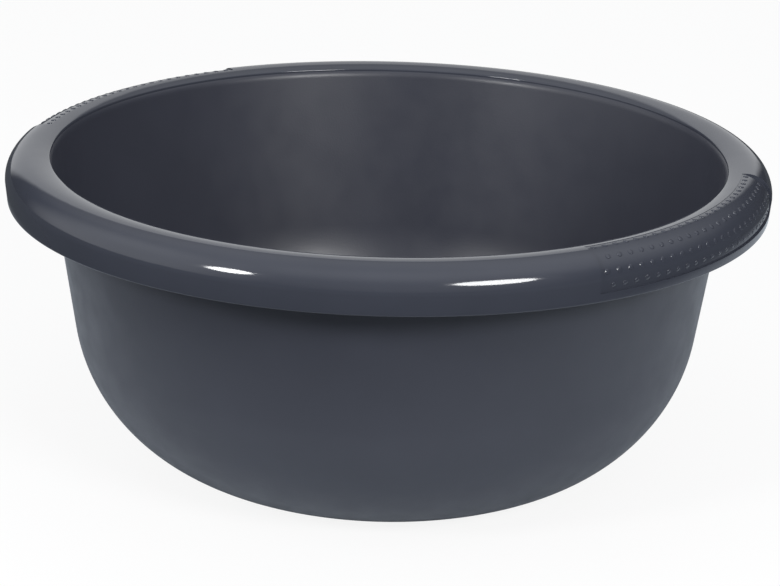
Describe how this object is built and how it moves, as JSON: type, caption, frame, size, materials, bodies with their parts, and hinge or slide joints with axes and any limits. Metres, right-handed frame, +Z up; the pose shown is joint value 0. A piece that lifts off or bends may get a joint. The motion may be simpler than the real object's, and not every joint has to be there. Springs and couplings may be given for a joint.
{
  "type": "washing up bowl",
  "caption": "Round plastic washing-up bowl with a drafted wall, a rounded lower corner, a foot ring and a hooked rim with dotted grips on opposite sides.",
  "frame": {"origin": "middle of the foot circle, on the surface that the bowl stands on", "axes": "+Z up along the bowl's axis, X through the middles of the grips, Y across them"},
  "size_m": [0.3592, 0.3598, 0.1522],
  "materials": {
    "plastic": "dark grey moulded polypropylene, glossy on the rim and satin on the wall"
  },
  "bodies": {
    "root": {"bowl": "plastic"}
  },
  "joints": []
}
